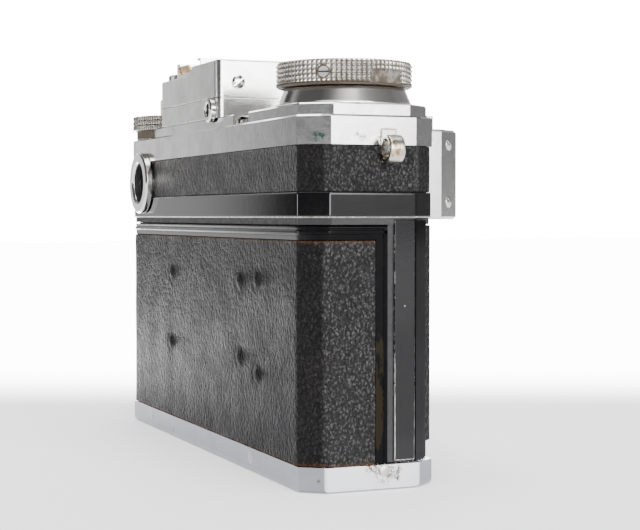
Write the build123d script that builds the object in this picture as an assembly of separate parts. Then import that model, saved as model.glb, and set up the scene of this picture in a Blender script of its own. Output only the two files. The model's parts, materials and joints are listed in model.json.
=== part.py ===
from build123d import *
from math import atan, cos, degrees, hypot, pi, radians, sin
import os

# Long-base rangefinder camera with a light meter, in millimetres.
# +Z is up, the lens looks along -Y and the winding end is at -X.
# The origin is the mouth of the tripod socket in the base.

# Body outline
half_length = 68.0
half_depth = 15.8
corner_run = 4.4
corner_depth = 5.8
skin = 0.8
wall = 1.4

# Levels
base_top = 5.5
leather_top = 53.6
cover_top = 56.6
deck_low = 57.0
deck_high = 59.0
strip_low = 58.4
strip_high = 64.0
band_high = 74.0
plate_high = 80.3
step_high = 82.9
housing_seam = 87.7
housing_top = 97.0
housing_low_top = 95.0

# Planes across the depth
cover_front = -3.3
film_plane = 9.05
flange_plane = -25.8
mask_back = -16.0

# Axes
wind_x = -52.0
wind_y = 0.0
rewind_x = 54.0
rewind_y = 3.0
sprocket_x = -31.0
sprocket_y = 3.0
counter_x = -25.7
counter_y = 6.0
lens_z = 33.0
window_z = 68.0
socket_x = -6.0
socket_z = 84.8
eyepiece_x = 52.5
eyepiece_bore = 5.8
needle_x = 32.7
needle_y = 9.8
needle_pivot = needle_y - 4.5
lug_span = (-5.0, -1.5)
lug_out = 70.4
lug_z = 73.0
front_skin_end = 65.2

# Radii
knob_radius = 15.2
shaft_radius = 5.0
running_gap = 0.05
cassette_radius = 13.2
counter_radius = 8.6
dial_radius = 15.2
hub_radius = 5.0

# Gears in the wind train
gear_teeth = 24
gear_low = 62.0
gear_high = 65.0
gear_reach = hypot(sprocket_x - wind_x, sprocket_y - wind_y)
gear_pitch = gear_reach / 2

os.makedirs("parts", exist_ok=True)
bottom = (Align.CENTER, Align.CENTER, Align.MIN)
low_corner = (Align.MIN, Align.MIN, Align.MIN)


def block(x_range, y_range, z_range):
    """Box between two values on each axis."""
    size = (x_range[1] - x_range[0], y_range[1] - y_range[0], z_range[1] - z_range[0])
    return Pos(x_range[0], y_range[0], z_range[0]) * Box(*size, align=low_corner)


def rod(radius, low, high, x=0, y=0):
    """Upright cylinder."""
    return Pos(x, y, low) * Cylinder(radius, high - low, align=bottom)


def rod_y(radius, low, high, x=0, z=lens_z):
    """Cylinder along Y, from the lower y to the higher y."""
    return Pos(x, low, z) * Rot(-90, 0, 0) * Cylinder(radius, high - low, align=bottom)


def rod_x(radius, low, high, y, z):
    """Cylinder along X, from the lower x to the higher x."""
    return Pos(low, y, z) * Rot(0, 90, 0) * Cylinder(radius, high - low, align=bottom)


def ring(outer, inner, low, high, x=0, y=0):
    """Upright tube."""
    return rod(outer, low, high, x, y) - rod(inner, low - 1, high + 1, x, y)


def ring_y(outer, inner, low, high, x=0, z=lens_z):
    """Tube along Y."""
    return rod_y(outer, low, high, x, z) - rod_y(inner, low - 1, high + 1, x, z)


def prism(points, low, high):
    """Upright prism over a plan outline."""
    plan = Polygon(*points, align=None)
    return Pos(0, 0, low) * extrude(plan, amount=high - low, dir=(0, 0, 1))


def outline(inset, low, high, run=corner_run, depth=corner_depth):
    """Body plan, a rectangle with four cut corners, inset from the outer faces."""
    x = half_length - inset
    y = half_depth - inset
    points = [
        (-x, depth - y),
        (-x, y - depth),
        (run - x, y),
        (x - run, y),
        (x, y - depth),
        (x, depth - y),
        (x - run, -y),
        (run - x, -y),
    ]
    return prism(points, low, high)


def tube_wall(outer_inset, inner_inset, low, high):
    """Upright wall that follows the body plan."""
    return outline(outer_inset, low, high) - outline(inner_inset, low - 1, high + 1)


def behind(y, low=-5, high=120):
    """Everything behind a plane across the depth."""
    return block((-90, 90), (y, 60), (low, high))


def cap_edges(part, axis=Axis.Z, top=True):
    """Edges of the last flat face along an axis."""
    faces = part.faces().sort_by(axis)
    return (faces[-1] if top else faces[0]).edges()


def turned(points, x=0, y=0):
    """Solid of revolution about an upright axis, from (radius, z) points."""
    profile = make_face(Polyline(*[(r, 0, z) for r, z in points], close=True))
    return Pos(x, y, 0) * revolve(profile, Axis.Z)


def turned_y(points, x=0, z=lens_z):
    """Solid of revolution about a level axis along Y, from (radius, y) points."""
    profile = make_face(Polyline(*[(r, 0, -y) for r, y in points], close=True))
    return Pos(x, 0, z) * Rot(90, 0, 0) * revolve(profile, Axis.Z)


def spur_gear(pitch, teeth, low, high, x, y, turn=0.0):
    """Straight-sided gear that leaves a small gap all round in mesh."""
    module = 2 * pitch / teeth
    body = rod(pitch - 1.2 * module, low, high)
    half_root = 0.30 * module * pi / 2
    half_tip = 0.14 * module * pi
    tooth_points = [
        (pitch - 1.4 * module, -half_root * 1.3),
        (pitch + 0.8 * module, -half_tip * 0.7),
        (pitch + 0.8 * module, half_tip * 0.7),
        (pitch - 1.4 * module, half_root * 1.3),
    ]
    tooth = prism(tooth_points, low, high)
    teeth_around = [Rot(0, 0, 360 * i / teeth) * tooth for i in range(teeth)]
    return Pos(x, y, 0) * Rot(0, 0, turn) * (body + teeth_around)


def save(name, part):
    """Write one named piece."""
    part.label = name
    export_step(part, f"parts/{name}.step")


def save_group(name, solids):
    """Write several separate solids of one kind as one node."""
    save(name, Compound(children=[s for item in solids for s in item.solids()]))


# Body casting, its trim and its skins
def body_casting():
    lip_high = 58.4
    inner_end = 65.8
    ring_wall = tube_wall(skin, skin + 2.0, 5.8, band_high)
    ring_wall -= block((-90, 90), (cover_front - 0.3, 60), (0, deck_low))
    lip = tube_wall(0.4, skin + 1.0, deck_low, lip_high)
    deck = outline(skin + 1.0, deck_low, deck_high)
    part = ring_wall + lip + deck
    for side in (-1, 1):
        ends = sorted((side * inner_end, side * (inner_end - 1.2)))
        part += block(ends, (-6, 8), (5.8, deck_low + 0.5))
        part -= block(sorted((side * 67.2, side * 69)), (-9.9, -4.9), (5, 58.2))
    bottom_plate = outline(2.5, 5.8, 7.2) - behind(8.8)
    bottom_plate -= rod(cassette_radius, 5, 8, wind_x, wind_y)
    bottom_plate -= rod(cassette_radius, 5, 8, rewind_x, rewind_y - 2)
    bottom_plate -= rod(2.6, 5, 8, -36, -6)
    part += bottom_plate
    chamber = block((-24, 24), (-14.5, 6.5), (8, 57.5)) - block((-22, 22), (-30, 6.6), (8.8, 56))
    gate = block((-25, 25), (6.4, film_plane - 0.15), (7, 57.5))
    gate -= block((-18, 18), (0, 20), (lens_z - 12, lens_z + 12))
    part += chamber + gate
    part -= rod_y(22.4, -20, -12.5)
    part -= rod(shaft_radius + running_gap, 50, 70, wind_x, wind_y)
    part -= rod(1.55, 50, 70, sprocket_x, sprocket_y)
    part -= rod(2.55, 50, 70, rewind_x, rewind_y)
    part -= rod_y(eyepiece_bore, 12, 20, eyepiece_x, window_z)
    part -= rod(gear_pitch + 1.1, gear_low - 0.5, gear_high + 0.5, sprocket_x, sprocket_y)
    part -= block((-49, -41), (-20, -12), (65, 71))
    part -= block((44, 55), (-20, -12), (64, 72))
    return part


def front_leather(side):
    sheet = tube_wall(0, skin, 9.6, 56.9) - behind(-9.9)
    sheet -= block((-25.1, 25.1), (-40, 0), (0, 70))
    return sheet & block(sorted((0, side * (front_skin_end - 0.05))), (-40, 0), (0, 70))


def end_strip(side):
    strip = block(sorted((side * 67.25, side * 68.0)), (-9.8, -5.0), (6.2, 58.0))
    return chamfer(strip.edges().filter_by(Axis.Z), 0.2)


def front_margin(side):
    """Enamelled edge strip between the end strip and the front leather."""
    wall = tube_wall(0, skin, 6.0, 56.9) - behind(-9.9)
    return wall & block(sorted((side * front_skin_end, side * 90)), (-40, 0), (0, 70))


def band_skin(low, high):
    band = tube_wall(0 if low < 60 else 0.1, skin, low, high)
    return band - rod_y(eyepiece_bore, 12, 20, eyepiece_x, window_z)


save("body_casting", body_casting())
save_group("front_leather", [front_leather(-1), front_leather(1)])
save_group("end_strips", [end_strip(-1), end_strip(1), front_margin(-1), front_margin(1)])
for_windows = block((-49, -41), (-20, -12), (65, 71)) + block((44, 55), (-20, -12), (64, 72))
save("black_strip", band_skin(strip_low, strip_high - 0.05))


def mechanism_plate():
    plate = outline(skin + 0.8, band_high, band_high + 1.2)
    plate -= rod(shaft_radius + running_gap, 70, 80, wind_x, wind_y)
    plate -= rod(1.55, 70, 80, sprocket_x, sprocket_y)
    plate -= rod(1.55, 70, 80, counter_x, counter_y)
    plate -= rod(2.55, 70, 80, rewind_x, rewind_y)
    return plate


save("mechanism_plate", mechanism_plate())


# Top plate and what stands on it
def lug_slot(side):
    return block(sorted((side * 67.1, side * 70)), (lug_span[0] - 0.1, lug_span[1] + 0.1), (69.8, 77.6))


def top_plate():
    lower = outline(-0.2, band_high, plate_high, 4.6, 6.1)
    lower = chamfer(cap_edges(lower), 0.35)
    upper = outline(0.8, plate_high - 0.1, step_high, 4.6, 6.1)
    upper = chamfer(cap_edges(upper), 0.3)
    part = lower + upper
    part -= outline(1.4, band_high - 1, plate_high - 1.3)
    part -= outline(2.4, plate_high - 2, step_high - 1.0)
    part -= rod(counter_radius + 0.4, 76, step_high - 0.5, counter_x, counter_y)
    part -= block((-31, -20.4), (10, 18), (80.5, step_high + 1))
    part -= rod(4.4 + shaft_radius, 70, 90, wind_x, wind_y)
    part -= rod(14.4, plate_high, 90, rewind_x, rewind_y)
    part -= rod(dial_radius + 0.3, 82.6, 90, rewind_x, rewind_y)
    part -= rod_y(3.1, 12.5, 20, socket_x, socket_z)
    part -= rod(3.5, 70, 90, rewind_x, rewind_y)
    part += ring(14.3, 3.5, plate_high - 1.3, plate_high, rewind_x, rewind_y) & outline(0, 70, 90)
    for side in (-1, 1):
        part -= lug_slot(side)
    return part


def cone_collar():
    points = [
        (11.8, step_high), (15.2, step_high), (15.2, 83.25), (15.0, 83.4), (13.6, 86.7),
        (shaft_radius + 0.3, 86.7), (shaft_radius + 0.3, 85.4), (10.9, 85.4),
    ]
    return turned(points, wind_x, wind_y)


def strap_lug(side):
    face = side * 67.95
    tab = block(sorted((face, face + side * 0.9)), lug_span, (70.2, 77.4))
    neck = block(sorted((face, face + side * 1.6)), lug_span, (70.4, 75.6))
    part = tab + neck + rod_y(3.1, *lug_span, side * lug_out, lug_z)
    return part - rod_y(2.0, -10, 2, side * lug_out, lug_z)


save("top_plate", top_plate())
save("cone_collar", cone_collar())
save_group("strap_lugs", [strap_lug(-1), strap_lug(1)])
band = band_skin(strip_high, band_high) - for_windows
save("leather_band", band - lug_slot(-1) - lug_slot(1))


# Meter housing
housing_x = (-9.8, 38.5)
housing_y = (-16.6, 15.4)
catch_x = 35.4
catch_z = 85.6
shoe_x = (7.4, 27.6)
shoe_y = (-13.0, 14.0)
shoe_top = 99.0
step_start = 9.8
step_end = 16.5


def rounded_box(x_range, y_range, z_range, radius):
    part = block(x_range, y_range, z_range)
    return fillet(part.edges().filter_by(Axis.Z), radius)


def shrink(limits, by):
    return (limits[0] + by, limits[1] - by)


def meter_housing():
    part = rounded_box(housing_x, housing_y, (step_high, housing_seam), 1.8)
    part -= block(shrink(housing_x, 1.2), shrink(housing_y, 1.2), (80, 90))
    part -= rod_y(2.25, 10, 20, socket_x, socket_z)
    part -= rod_y(1.25, -20, -14, catch_x, catch_z)
    return part - block((-2, 32), (-20, -14), (84, 90))


def cover_profile(inset):
    x_low = housing_x[0] + inset
    x_high = housing_x[1] - inset
    high = housing_top - inset
    low = housing_low_top - inset
    edge = Polyline((step_end, low), (x_high, low), (x_high, housing_seam + 0.05))
    edge += Polyline((x_high, housing_seam + 0.05), (x_low, housing_seam + 0.05), (x_low, high))
    edge += Polyline((x_low, high), (step_start, high))
    middle = ((step_start + step_end) / 2, (high + low) / 2)
    edge += Spline((step_start, high), middle, (step_end, low), tangents=[(1, 0), (1, 0)])
    return make_face(edge)


needle_bezel = [(2.8, 94.4), (3.7, 94.4), (3.7, 94.95), (4.8, 94.95), (4.8, 96.3), (4.4, 96.6), (2.8, 96.6)]


def meter_cover():
    depth = housing_y[1] - housing_y[0]
    outer = Pos(0, housing_y[1], 0) * extrude(Plane.XZ * cover_profile(0), amount=depth)
    inner = Pos(0, housing_y[1] - 1.2, 0) * extrude(Plane.XZ * cover_profile(1.2), amount=depth - 2.4)
    inner += block(shrink(housing_x, 1.2), shrink(housing_y, 1.2), (85, 89))
    outer &= rounded_box(housing_x, housing_y, (80, 110), 1.8)
    part = outer - inner
    part -= block((-2, 32), (-20, -14), (80, 94.0))
    part -= rod(3.6, 90, 100, needle_x, needle_y)
    part -= block(shoe_x, shoe_y, (housing_low_top, 100))
    part -= block((-11, housing_x[0] + 0.12), (-12, 11), (89.25, 89.45))
    part += turned(needle_bezel, needle_x, needle_y)
    for x in (-2.1, 31.2):
        part += block((x, x + 0.9), (-18.3, -16.5), (94.75, 95.2))
    return part


save("meter_housing", meter_housing())
save("meter_cover", meter_cover())


def domed_screw(radius, height):
    """Slotted screw head on z = 0, domed upwards."""
    head = rod(radius, 0, height * 0.45)
    dome = Pos(0, 0, height * 0.45) * Cone(radius, radius * 0.55, height * 0.55, align=bottom)
    return head + dome - block((-radius * 2, radius * 2), (-0.2, 0.2), (height * 0.5, height * 2))


def housing_screws():
    head = domed_screw(1.7, 0.9)
    near = Pos(housing_x[0], 10.0, 91.6) * Rot(0, -90, 0) * head
    far = Pos(housing_x[1], 10.0, 91.6) * Rot(0, 90, 0) * head
    return [near, far]


# Accessory shoe, with a worn leaf spring along its middle
shoe_x = (7.4, 27.6)
shoe_y = (-13.0, 14.0)
shoe_top = 99.0


def accessory_shoe():
    part = block(shoe_x, shoe_y, (housing_low_top, 96.0))
    for edge, inward in ((shoe_x[0], 1), (shoe_x[1], -1)):
        wall_x = sorted((edge, edge + inward * 0.7))
        lip_x = sorted((edge, edge + inward * 2.6))
        part += block(wall_x, shoe_y, (housing_low_top, shoe_top))
        part += block(lip_x, shoe_y, (shoe_top - 0.6, shoe_top))
    return part


def shoe_spring():
    leaf = Polyline((-10.0, 96.1), (12.8, 96.1), (13.6, 98.3), (13.0, 98.3), (12.3, 96.6), (-10.0, 96.6))
    leaf += Line((-10.0, 96.6), (-10.0, 96.1))
    return Pos(19.8, 0, 0) * extrude(Plane.YZ * make_face(leaf), amount=6.6)


save("accessory_shoe", accessory_shoe())
save("shoe_spring", shoe_spring())


# Light meter inside the housing
def meter_cell():
    return block((-1.0, 31.0), (-14.6, -13.6), (84.2, 93.4))


def cell_grille():
    plate = block((-1.8, 31.8), (-16.4, -14.8), (84.2, 93.6))
    pitch_x = 3.3
    for column in range(9):
        for row in range(3):
            x = 1.8 + pitch_x * column
            z = 86.0 + 2.9 * row
            plate -= block((x - 1.25, x + 1.25), (-17, -15.4), (z - 1.1, z + 1.1))
    return plate


def meter_movement():
    coil = block((needle_x - 3.5, needle_x + 3.5), (needle_pivot - 3.5, needle_pivot + 3.5), (83.4, 91.4))
    return coil - rod(0.55, 80, 95, needle_x, needle_pivot)


def meter_needle():
    pointer = block((needle_x - 0.25, needle_x + 0.25), (needle_pivot, needle_pivot + 6.5), (92.2, 92.6))
    return pointer + rod(0.5, 84.5, 92.6, needle_x, needle_pivot)


save_group("meter_cell", [meter_cell(), cell_grille()])
save("meter_movement", meter_movement())
save("meter_needle", meter_needle())
needle_glass = rod(2.75, 94.6, 95.1, needle_x, needle_y)


# Flap over the cell, hinged along its top edge, and its catch
def meter_flap():
    plate = block((-2.4, 32.4), (-18.4, -17.2), (83.2, 94.6))
    plate = fillet(plate.edges().filter_by(Axis.Y), 1.2)
    barrel = rod_x(0.9, -2.4, 32.4, -17.8, 95.2) & block((-1, 31), (-20, -10), (90, 99))
    return plate + barrel + block((0, 30), (-18.3, -17.3), (94.0, 95.2))


def flap_catch():
    return rod_y(1.2, -18.2, -15.6, catch_x, catch_z)


save("meter_flap", meter_flap())
save("flap_catch", flap_catch())


# Flash socket
def flash_socket():
    points = [
        (1.6, 13.0), (2.2, 13.0), (2.2, 15.45), (3.0, 15.45), (3.0, 16.5),
        (2.7, 16.9), (1.9, 16.9), (1.6, 16.6),
    ]
    return turned_y(points, socket_x, socket_z)


contact = rod_y(0.6, 13.2, 16.2, socket_x, socket_z)
contact += rod_y(1.7, 13.0, 13.6, socket_x, socket_z)
save("flash_socket", flash_socket() + contact)


# Winding: shaft and gear, speed knob, shutter button, take-up spool, sprocket and counter
def wind_shaft():
    tube = rod(shaft_radius, 57.5, 91.7, wind_x, wind_y)
    tube += spur_gear(gear_pitch, gear_teeth, gear_low, gear_high, wind_x, wind_y)
    tube += rod(2.9, 52.6, 57.6, wind_x, wind_y)
    tube -= rod(2.5, 66, 92, wind_x, wind_y)
    return tube - rod(4.05, 88.0, 92, wind_x, wind_y)


def speed_knob():
    bore = shaft_radius + running_gap
    points = [
        (bore, 87.0), (14.6, 87.0), (knob_radius, 87.4), (knob_radius, 92.0),
        (knob_radius - 0.4, 92.4), (12.4, 92.4), (12.4, 91.5), (bore, 91.5),
    ]
    knob = turned(points, wind_x, wind_y)
    hole = rod_x(1.25, 10, 20, 0, 0)
    knob += ring(9.6, 6.2, 91.4, 92.0, wind_x, wind_y)
    return knob - Pos(wind_x, wind_y, 89.6) * Rot(0, 0, screw_angle) * hole


def knob_set_screw():
    screw = rod_x(1.2, 11.0, knob_radius - 0.35, 0, 0) - block((14.2, 20), (-3, 3), (-0.2, 0.2))
    return Pos(wind_x, wind_y, 89.6) * Rot(0, 0, screw_angle) * screw


def shutter_button():
    button = rod(2.45, 69, 90.4, wind_x, wind_y) + rod(4.0, 90.3, 91.7, wind_x, wind_y)
    return button - rod(1.5, 88.5, 93, wind_x, wind_y)


def take_up_spool():
    spool = rod(5.5, 10, 55, wind_x, wind_y)
    for low in (9.2, 54.4):
        spool += rod(12.0, low, low + 0.9, wind_x, wind_y)
    spool -= rod(2.95, 48, 60, wind_x, wind_y)
    return spool - block((wind_x + 2, wind_x + 7), (-0.5, 0.5), (20, 44))


def sprocket_drum():
    drum = rod(2.2, 8.2, 56.6, sprocket_x, sprocket_y) + rod(1.5, 56, 75, sprocket_x, sprocket_y)
    for middle in (lens_z - 14.1, lens_z + 14.1):
        drum += rod(6.0, middle - 1.6, middle + 1.6, sprocket_x, sprocket_y)
        for tooth in range(8):
            peg = Pos(5.8, 0, middle) * Rot(0, 90, 0) * Cone(0.8, 0.4, 1.0, align=bottom)
            drum += Pos(sprocket_x, sprocket_y, 0) * Rot(0, 0, 45 * tooth) * peg
    turn = degrees(atan((sprocket_y - wind_y) / (sprocket_x - wind_x)))
    offset = turn * 2 + 180 + 180 / gear_teeth
    return drum + spur_gear(gear_pitch, gear_teeth, gear_low, gear_high, sprocket_x, sprocket_y, offset)


def counter_disc():
    disc = rod(counter_radius - 0.25, 80.55, 81.55, counter_x, counter_y)
    serration = Pos(counter_radius - 0.35, 0, 80.55) * Cylinder(0.35, 1.0, align=bottom)
    disc += [Pos(counter_x, counter_y, 0) * Rot(0, 0, 7.5 * i) * serration for i in range(48)]
    return disc + rod(1.5, 72.5, 81, counter_x, counter_y)


screw_angle = 139.5
save("wind_shaft", wind_shaft())
save("speed_knob", speed_knob())
save("knob_set_screw", knob_set_screw())
save("shutter_button", shutter_button())
save("take_up_spool", take_up_spool())
save("sprocket_drum", sprocket_drum())
save("counter_disc", counter_disc())


# Rewinding: dial base, calculator rings, shaft with fork, knob
def dial_base():
    base = ring(14.1, 2.55, plate_high, 82.8, rewind_x, rewind_y)
    hub = ring(hub_radius, 2.55, 82.7, 86.9, rewind_x, rewind_y)
    return base + hub + dial_ring(82.7, 84.05, hub_radius - 1)


def dial_ring(low, high, bore=hub_radius + running_gap):
    knurl_count = 60
    part = ring(dial_radius, bore, low, high)
    part = chamfer(part.edges().filter_by(GeomType.CIRCLE).group_by(SortBy.RADIUS)[-1], 0.25)
    notch = block((dial_radius - 0.55, dial_radius + 1), (-0.3, 0.3), (low - 1, high + 1))
    for index in range(0, knurl_count, 5):
        part -= Rot(0, 0, 360 * index / knurl_count) * notch
    return Pos(rewind_x, rewind_y, 0) * part


def rewind_shaft():
    shaft = rod(2.5, 52.0, 88.5, rewind_x, rewind_y)
    fork = rod(3.4, 51, 54.5, rewind_x, rewind_y)
    fork += block((rewind_x - 3.4, rewind_x + 3.4), (rewind_y - 0.6, rewind_y + 0.6), (47.5, 51.2))
    return shaft + fork


def rewind_knob():
    points = [
        (2.55, 87.2), (7.0, 87.2), (7.5, 87.7), (7.5, 91.3), (7.0, 91.8), (4.6, 91.8),
        (4.6, 91.4), (0.0, 91.4), (0.0, 89.0), (2.55, 89.0),
    ]
    return turned(points, rewind_x, rewind_y)


save("dial_base", dial_base())
save("exposure_ring", dial_ring(84.15, 85.3))
save("calculator_ring", dial_ring(85.4, 86.6))
save("rewind_shaft", rewind_shaft())
save("rewind_knob", rewind_knob())


# Front mask over the rangefinder, with the tower that carries the lens
mask_low = 58.1
mask_high = 78.1
tower_half = 25.0
tower_front = -22.0
mount_bore = 22.4


def mask_plan(inset):
    back = mask_back if inset == 0 else mask_back + 5
    return [
        (inset - 61.0, back), (inset - 61.0, -19.6), (inset - 56.1, flange_plane + inset),
        (56.1 - inset, flange_plane + inset), (61.0 - inset, -19.6), (61.0 - inset, back),
    ]


def front_mask():
    bar = prism(mask_plan(0), mask_low, mask_high)
    front_edges = bar.edges().filter_by(Axis.Z, reverse=True)
    bar = chamfer(front_edges.filter_by(lambda edge: edge.center().Y < mask_back - 1), 0.6)
    tower = block((-tower_half, tower_half), (tower_front, -15.05), (8.0, mask_low + 0.5))
    tower = fillet(tower.edges().filter_by(Axis.Z).filter_by(lambda e: e.center().Y < -20), 2.0)
    part = bar + tower
    part -= prism(mask_plan(1.2), mask_low + 1.2, mask_high - 1.2)
    part -= block((-90, 90), (mask_back, 0), (deck_low - 0.2, 90))
    part -= rod_y(mount_bore, -40, 0)
    part -= block((-49, -41), (-40, -20), (65, 71))
    part -= block((44, 55), (-40, -20), (64, 72))
    part -= rod(1.05, 70, 80, -45, -20.5)
    return part


def mask_screws():
    screws = []
    for side in (-1, 1):
        for z in (62.0, 74.8):
            head = Rot(0, 90, 0) * domed_screw(1.7, 0.6)
            screws.append(Pos(side * 58.56, -22.71, z) * Rot(0, 0, -90 + side * 51.7) * head)
    return screws


def window_glass(x_range, z_range):
    return block(x_range, (-24.55, -23.9), z_range)


save("front_mask", front_mask())
save_group("cover_screws", mask_screws() + housing_screws())
save("rangefinder_prism", prism([(-48, -18.6), (-43, -23.6), (42, -23.6), (37, -18.6)], 65.2, 70.8))


def eyepiece_ring():
    points = [
        (4.6, 13.2), (5.75, 13.2), (5.75, 16.05), (8.5, 16.05), (8.5, 17.5),
        (8.0, 18.0), (5.9, 18.0), (5.5, 17.4), (5.5, 14.6), (4.6, 14.6),
    ]
    return turned_y(points, eyepiece_x, window_z)


save("eyepiece_ring", eyepiece_ring())
rangefinder_glass = window_glass((-49.5, -40.5), (64.5, 71.5))
viewfinder_glass = window_glass((43.5, 54.9), (63.5, 72.5))
eyepiece_glass = rod_y(5.45, 14.7, 15.6, eyepiece_x, window_z)
save_group("window_glass", [rangefinder_glass, viewfinder_glass, eyepiece_glass, needle_glass])


def focus_wheel():
    wheel = rod(4.1, 78.4, 81.8) + [
        Rot(0, 0, 15 * i) * (Pos(4.1, 0, 78.4) * Cylinder(0.4, 3.4, align=bottom)) for i in range(24)
    ]
    return Pos(-45, -20.5, 0) * (wheel + rod(1.0, 75, 78.5))


def infinity_catch():
    slider = block((-38.6, -35.4), (-22.6, -19.4), (78.15, 79.4))
    return chamfer(cap_edges(slider), 0.4)


def self_timer_lever():
    arm = block((-33.8, -30.2), (-18.8, -17.5), (27.0, 44.0)) + rod_y(3.4, -19.0, -16.2, -32, 44.0)
    return arm + rod_y(2.6, -19.4, -17.5, -32, 26.5)


save("focus_wheel", focus_wheel())
save("infinity_catch", infinity_catch())
save("self_timer_lever", self_timer_lever())


# Lens, collapsed
def lens_mount():
    points = [
        (21.45, -14.0), (22.3, -14.0), (22.3, -22.05), (25.0, -22.05), (25.0, -25.3),
        (24.5, flange_plane), (21.45, flange_plane),
    ]
    return turned_y(points)


def helicoid_ring():
    return turned_y([(18.05, -14.5), (21.4, -14.5), (21.4, -27.0), (18.05, -27.0)])


def lens_barrel():
    points = [
        (15.05, -12.0), (18.0, -12.0), (18.0, -27.2), (20.6, -27.2), (20.6, -28.2), (15.05, -28.2),
    ]
    return turned_y(points)


def lens_head():
    points = [
        (13.0, -6.0), (15.0, -6.0), (15.0, -28.4), (20.0, -28.4), (20.0, -30.0), (18.2, -30.0),
        (18.2, -33.0), (21.0, -33.0), (21.0, -36.3), (19.98, -36.3), (19.98, -33.8), (12.5, -32.6),
        (11.4, -32.6), (11.4, -28.6), (13.0, -28.6),
    ]
    return turned_y(points)


def aperture_ring():
    grips = 36
    part = turned_y([(18.25, -30.1), (20.9, -30.1), (20.9, -32.9), (18.25, -32.9)])
    for index in range(grips):
        groove = block((20.6, 22), (-34, -29), (-0.35, 0.35))
        part -= Pos(0, 0, lens_z) * Rot(0, 360 * index / grips, 0) * groove
    return part


save("lens_mount", lens_mount())
save("helicoid_ring", helicoid_ring())
save("lens_barrel", lens_barrel())
save("lens_head", lens_head())
save("aperture_ring", aperture_ring())
front_glass = [(0, -33.6), (6, -33.2), (11.35, -32.0), (11.35, -29.6), (0, -29.6)]
rear_glass = [(0, -10.5), (12.95, -10.5), (12.95, -8.4), (6, -7.4), (0, -7.1)]
save_group("lens_glass", [turned_y(front_glass), turned_y(rear_glass)])


# Focal-plane shutter
def shutter_crate():
    part = block((-21.7, 21.7), (-3.8, 5.9), (9.4, 55.4))
    part -= block((-20, 20), (-2.6, 4.8), (10.4, 54.4))
    part -= block((-18.5, 18.5), (-10, 10), (lens_z - 12.5, lens_z + 12.5))
    for z in (14.4, 50.6):
        part -= rod_x(1.55, -30, 30, 1.0, z)
    return part


def curtain_slats():
    pitch = 2.5
    first = lens_z - 5.5 * pitch
    return [block((-19, 19), (4.1, 4.6), (first + pitch * i, first + pitch * i + 2.4)) for i in range(11)]


def curtain_roller(z):
    return rod_x(3.0, -19.6, 19.6, 1.0, z) + rod_x(1.5, -21.6, 21.6, 1.0, z)


save("shutter_crate", shutter_crate())
save_group("shutter_curtain", curtain_slats())
save("shutter_roller_upper", curtain_roller(50.6))
save("shutter_roller_lower", curtain_roller(14.4))


# Back and base, one unit that slides off downwards
key_places = {"right": (wind_x, wind_y), "left": (rewind_x, rewind_y - 2)}


def back_shell():
    part = tube_wall(skin, skin + 1.3, base_top, cover_top - 0.2)
    part += tube_wall(0.1, skin + 0.1, leather_top + 0.1, cover_top)
    part += tube_wall(0.2, skin + 0.1, base_top + 0.1, cover_top) - behind(-0.5)
    return part & behind(cover_front)


def base_plate():
    part = outline(0, 0, base_top, 3.9, 5.2)
    part = fillet(cap_edges(part, top=False), 1.1)
    part -= outline(2.2, 2.4, base_top + 1)
    for x, y in key_places.values():
        part -= rod(9.6, -1, 1.5, x, y) + rod(2.05, -1, 5, x, y)
    part -= rod(7.95, -1, 5)
    return part - rod(3.0, -1, 5, -36, -6)


def tripod_bush():
    bush = rod(7.9, 0, 2.4) + rod(6.0, 2.3, 5.3)
    return bush - rod(2.55, -1, 6)


def base_screws():
    heads = []
    flat = domed_screw(1.5, 0.16)
    for x, z in ((46.8, 3.8), (-34.4, 3.3)):
        heads.append(Pos(x, half_depth, z) * Rot(-90, 0, 0) * flat)
    small = domed_screw(1.1, 0.16)
    for side in (-1, 1):
        heads.append(Pos(side * half_length, -2.7, 4.1) * Rot(0, side * 90, 0) * small)
    return heads


def base_key(x, y):
    part = rod(9.2, 0.8, 1.35, x, y) + rod(2.0, 1.2, 5.2, x, y)
    cam = rod(6.0, 4.2, 5.2, x, y) & block((x - 8, x + 2.2), (y - 3, y + 3), (4, 6))
    return part + cam


def key_handle(x, y):
    bow = ring(7.8, 5.6, 0.1, 0.7, x, y) & block((x - 9, x + 9), (y - 9, y), (-1, 2))
    return bow + rod_x(0.3, x - 7.7, x + 7.7, y, 0.4)


save("back_shell", back_shell())
save("back_leather", tube_wall(0, skin, base_top + 0.1, leather_top) & behind(-0.4))
save("base_plate", base_plate())
save("tripod_bush", tripod_bush())
save_group("base_screws", base_screws())
for place, (key_x, key_y) in key_places.items():
    save(f"base_key_{place}", base_key(key_x, key_y))
    save(f"key_handle_{place}", key_handle(key_x, key_y))
pressure_plate = block((-24, 24), (9.5, 10.9), (16, 50))
save("pressure_plate", chamfer(pressure_plate.edges().filter_by(Axis.Y), 2.0))
save("rewind_release", rod(2.4, 0.4, 9.5, -36, -6) + rod(3.6, 8.2, 9.5, -36, -6))
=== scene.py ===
import bmesh
import bpy
import json
import math
from mathutils import Matrix, Vector, noise


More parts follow.
